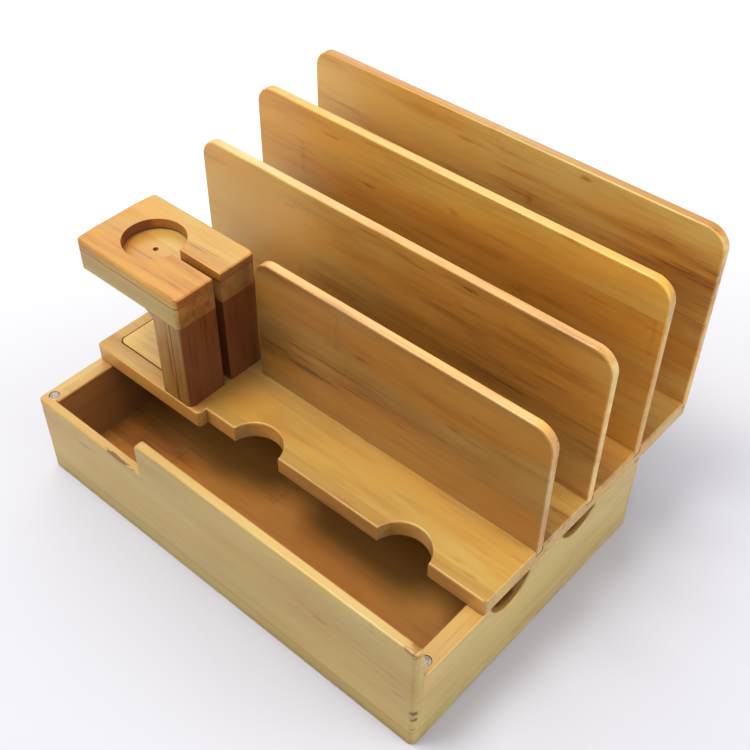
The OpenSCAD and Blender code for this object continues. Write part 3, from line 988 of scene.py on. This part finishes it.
dress("arm_top", "X", "Y", tones_of((0.465, 0.266, 0.062)), 11, pale=(1.03, 1.28, 1.4),
      ends=(0.62, 0.50, 0.50), coat=0.35, spare=SLOT_Y, bore=recess_wall, seams=[glue_in_arm])
dress("arm_base", "X", "Y", tones_of((0.49, 0.30, 0.072)), 12, pale=(0.82, 0.98, 1.15),
      ends=(0.70, 0.57, 0.62), spare=SLOT_Y, knots=[end_painted_shadow],
      seams=[glue_in_arm, post_under_arm])
dress("post_inner", "Z", "Y", tones_of((0.40, 0.25, 0.062)), 13, streaks=1.6,
      seams=[glue_in_post])
dress("post_outer", "Z", "Y", tones_of((0.21, 0.066, 0.020)), 14, pale=(1.65, 3.1, 2.5),
      spare=SLOT_Y, seams=[glue_in_post])
dress("foot_plate", "X", "Y", tones_of((0.64, 0.45, 0.13)), 15)

# %% [markdown]
# ## The small metal parts and the dowels
# The magnets are nickel-plated discs that lie in the tops of the walls and in the lid's underside.
# Their rims are rounded, as plated parts are, so they are eased copies too. The screws are
# zinc-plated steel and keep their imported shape. Handling dulls both metals, so the roughness is
# blotchy, and fine scratches catch the light. The dowels are plain beech, made by the same recipe
# with hardly any strips.

# %% Dress the metal parts
def metal(name, colour, tarnish, roughness):
    """A plated metal with blotches and fine scratches."""
    skin = bpy.data.materials.new(name)
    skin.use_nodes = True
    tree = skin.node_tree
    shader = tree.nodes["Principled BSDF"]
    place = put(tree, "ShaderNodeTexCoord").outputs["Object"]
    blotch = put(tree, "ShaderNodeTexNoise", {"Vector": place, "Scale": 500.0, "Detail": 2.0})
    dull = ramp(tree, blotch.outputs["Fac"], 0.40, 0.65)
    feed = {0: place, 1: (900.0, 7000.0, 900.0)}
    drawn = put(tree, "ShaderNodeVectorMath", feed, operation="MULTIPLY").outputs[0]
    scratch = put(tree, "ShaderNodeTexNoise", {"Vector": drawn, "Scale": 1.0, "Detail": 2.0})
    feed = {"Height": scratch.outputs["Fac"], "Strength": 0.15, "Distance": 0.00002}
    bump = put(tree, "ShaderNodeBump", feed)
    rough = calc(tree, "MULTIPLY_ADD", dull, 0.18, roughness)
    plated = blend(tree, dull, (*colour, 1), (*tarnish, 1))
    tree.links.new(plated, shader.inputs["Base Color"])
    tree.links.new(rough, shader.inputs["Roughness"])
    tree.links.new(bump.outputs[0], shader.inputs["Normal"])
    shader.inputs["Metallic"].default_value = 1.0
    return skin


nickel = metal("nickel_plating", (0.38, 0.34, 0.31), (0.30, 0.265, 0.24), 0.45)
zinc = metal("zinc_plating", (0.46, 0.46, 0.47), (0.30, 0.29, 0.28), 0.3)
for node in ("case_magnets", "lid_magnets"):
    ease(whole_copy(node), 0.35, everywhere)
    settle(node)
    boards[node].data.materials.clear()
    boards[node].data.materials.append(nickel)
beech = bamboo("dowel_beech", "Z", "Y", tones_of((0.50, 0.36, 0.17)), 16, strips=0.2)
for node, skin in (("case_screws", zinc), ("stand_screws", zinc), ("arm_dowels", beech)):
    nodes[node].data.materials.clear()
    nodes[node].data.materials.append(skin)
print("metal parts and dowels dressed")

# %% [markdown]
# ## The floor
# The picture shows a seamless white sweep: no horizon, and a pale cool floor. Its colour is painted
# lighter towards the back left, a painted pool of light that also bounces extra light and sheen
# onto the boards from that side. A large plane takes the shadow, and its colour follows the floor's
# own coordinates.

# %% Lay the floor
NEAR_PAPER = (0.53, 0.53, 0.575, 1)
# The far colour is painted light: the floor grows lighter towards the back left.
FAR_PAPER_PAINTED_LIGHT = (0.82, 0.82, 0.83, 1)
bpy.ops.object.select_all(action="DESELECT")
bpy.ops.mesh.primitive_plane_add(size=6, location=(0, 0, 0))
floor = bpy.context.object
floor.name = "studio_floor"
paper = bpy.data.materials.new("studio_paper")
paper.use_nodes = True
tree = paper.node_tree
shader = tree.nodes["Principled BSDF"]
split = put(tree, "ShaderNodeSeparateXYZ", {0: put(tree, "ShaderNodeTexCoord").outputs["Object"]})
x, y = split.outputs[0], split.outputs[1]
back = calc(tree, "ADD", calc(tree, "MULTIPLY", x, -0.65), calc(tree, "MULTIPLY", y, 0.75))
# The painted light: a lighter floor towards the back left.
painted_light_sweep = blend(tree, ramp(tree, back, -0.08, 0.55), NEAR_PAPER, FAR_PAPER_PAINTED_LIGHT)
tree.links.new(painted_light_sweep, shader.inputs["Base Color"])
shader.inputs["Roughness"].default_value = 0.9
floor.data.materials.append(paper)
print("floor laid, 6 m wide")

# %% [markdown]
# ## The light
# A bright pale sky fills every shadow, as in a white studio. A lamp above gives the soft shadows:
# it is small enough that the lid's shadow has an edge, and large enough that the edge is soft.
# Three broad, weak boxes at the front left, behind and at the right shape the boards and put a
# sheen on the lacquer. Area lamps suit this best, because their size sets how soft a shadow is.

# %% Sky and lamps
sky = bpy.data.worlds.new("studio_sky")
sky.use_nodes = True
sky.node_tree.nodes["Background"].inputs["Color"].default_value = (0.97, 0.98, 1.0, 1)
sky.node_tree.nodes["Background"].inputs["Strength"].default_value = 0.78
scene.world = sky
AIM = Vector((0, 0.02, 0.05))


def soft_box(name, place, size, power, colour):
    """A square soft lamp that looks at the object; size in metres, power in watts."""
    lamp = bpy.data.lights.new(name, "AREA")
    lamp.size = size
    lamp.energy = power
    lamp.color = colour
    holder = bpy.data.objects.new(name, lamp)
    holder.location = place
    holder.rotation_mode = "QUATERNION"
    holder.rotation_quaternion = (AIM - Vector(place)).to_track_quat("-Z", "Y")
    scene.collection.objects.link(holder)
    print(name, power, "W")


soft_box("window_box", (-0.24, -0.21, 1.2), 0.46, 9, (1.0, 0.98, 0.95))
soft_box("left_box", (-0.7, -1.0, 0.9), 0.8, 5, (1.0, 0.98, 0.96))
soft_box("sheen_box", (-0.8, 0.75, 1.0), 1.0, 4.5, (1.0, 0.99, 0.97))
soft_box("right_box", (1.0, 0.2, 0.5), 0.8, 6, (1.0, 0.98, 0.97))

# %% [markdown]
# ## The picture's contrast
# A camera gives its pictures a little contrast: darks go darker and lights stay. A gentle curve in
# the colour management does the same, on plain display colours.

# %% Bend the tone curve
TONE_CURVE = ((0.07, 0.043), (0.19, 0.135), (0.40, 0.355), (0.70, 0.71))
scene.view_settings.view_transform = "Standard"
scene.view_settings.use_curve_mapping = True
curve = scene.view_settings.curve_mapping.curves[3]
for dark, shown in TONE_CURVE:
    curve.points.new(dark, shown)
scene.view_settings.curve_mapping.update()
print("tone curve points:", [[round(c, 3) for c in p.location] for p in curve.points])
